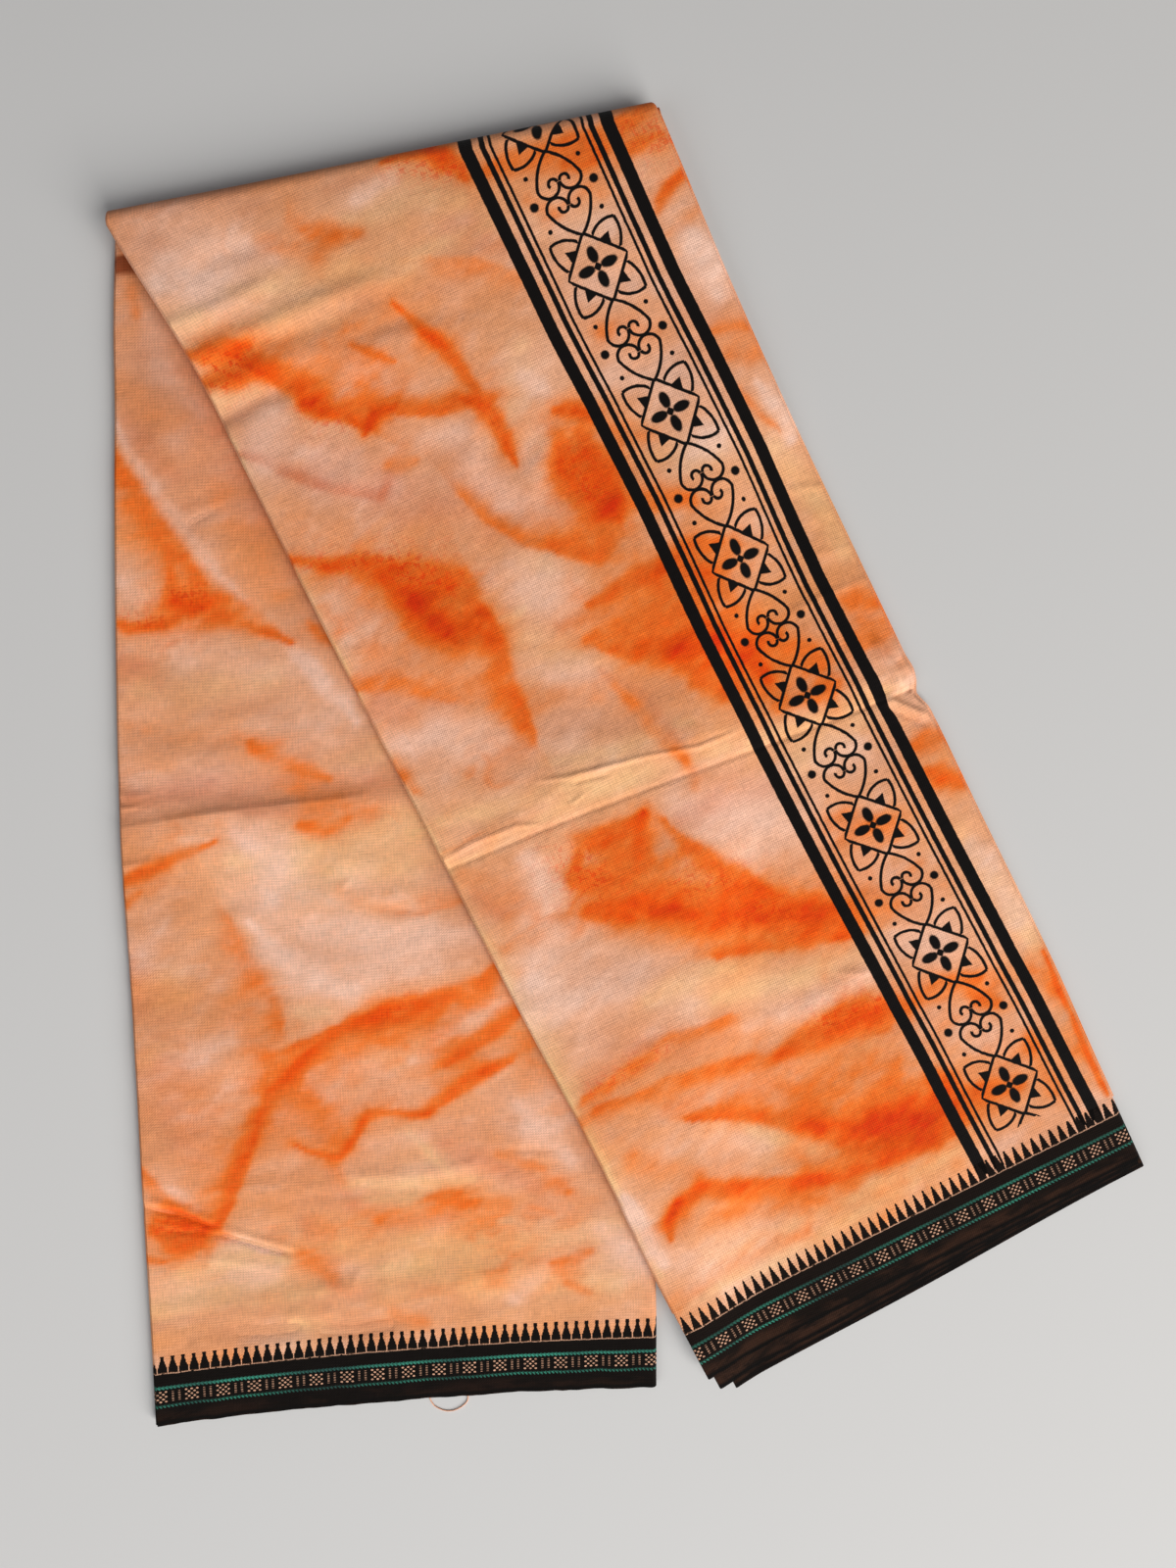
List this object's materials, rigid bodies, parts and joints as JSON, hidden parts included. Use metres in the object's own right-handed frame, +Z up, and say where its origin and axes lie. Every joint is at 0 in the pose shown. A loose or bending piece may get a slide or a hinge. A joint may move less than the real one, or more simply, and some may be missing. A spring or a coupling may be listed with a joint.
{
  "type": "folded lungi",
  "caption": "Tie-dyed cotton lungi with a printed band and dark woven borders, folded to a long strip and turned over on itself.",
  "frame": {"origin": "middle of the footprint, on the surface the folded cloth lies on", "axes": "+Z up off the surface; +Y from the hems towards the turned-over end, close along the lower leg; +X to the side the upper leg slants to"},
  "size_m": [0.51, 0.6492, 0.0168],
  "materials": {
    "dyed_cotton": "peach and orange tie-dyed plain-weave cotton, with a printed black band",
    "inner_layers": "the same dyed cotton, seen at the folded edges",
    "woven_border": "black woven selvedge border with teal and peach threads"
  },
  "bodies": {
    "root": {"under_leg_face": "dyed_cotton", "under_leg_layers": "inner_layers", "under_leg_border": "woven_border", "under_hem_layers": "woven_border", "turn_face": "dyed_cotton", "turn_layers": "inner_layers", "over_leg_face": "dyed_cotton", "over_leg_layers": "inner_layers", "over_leg_border": "woven_border", "over_hem_upper_fold": "woven_border", "over_hem_lower_fold": "woven_border"}
  },
  "joints": []
}
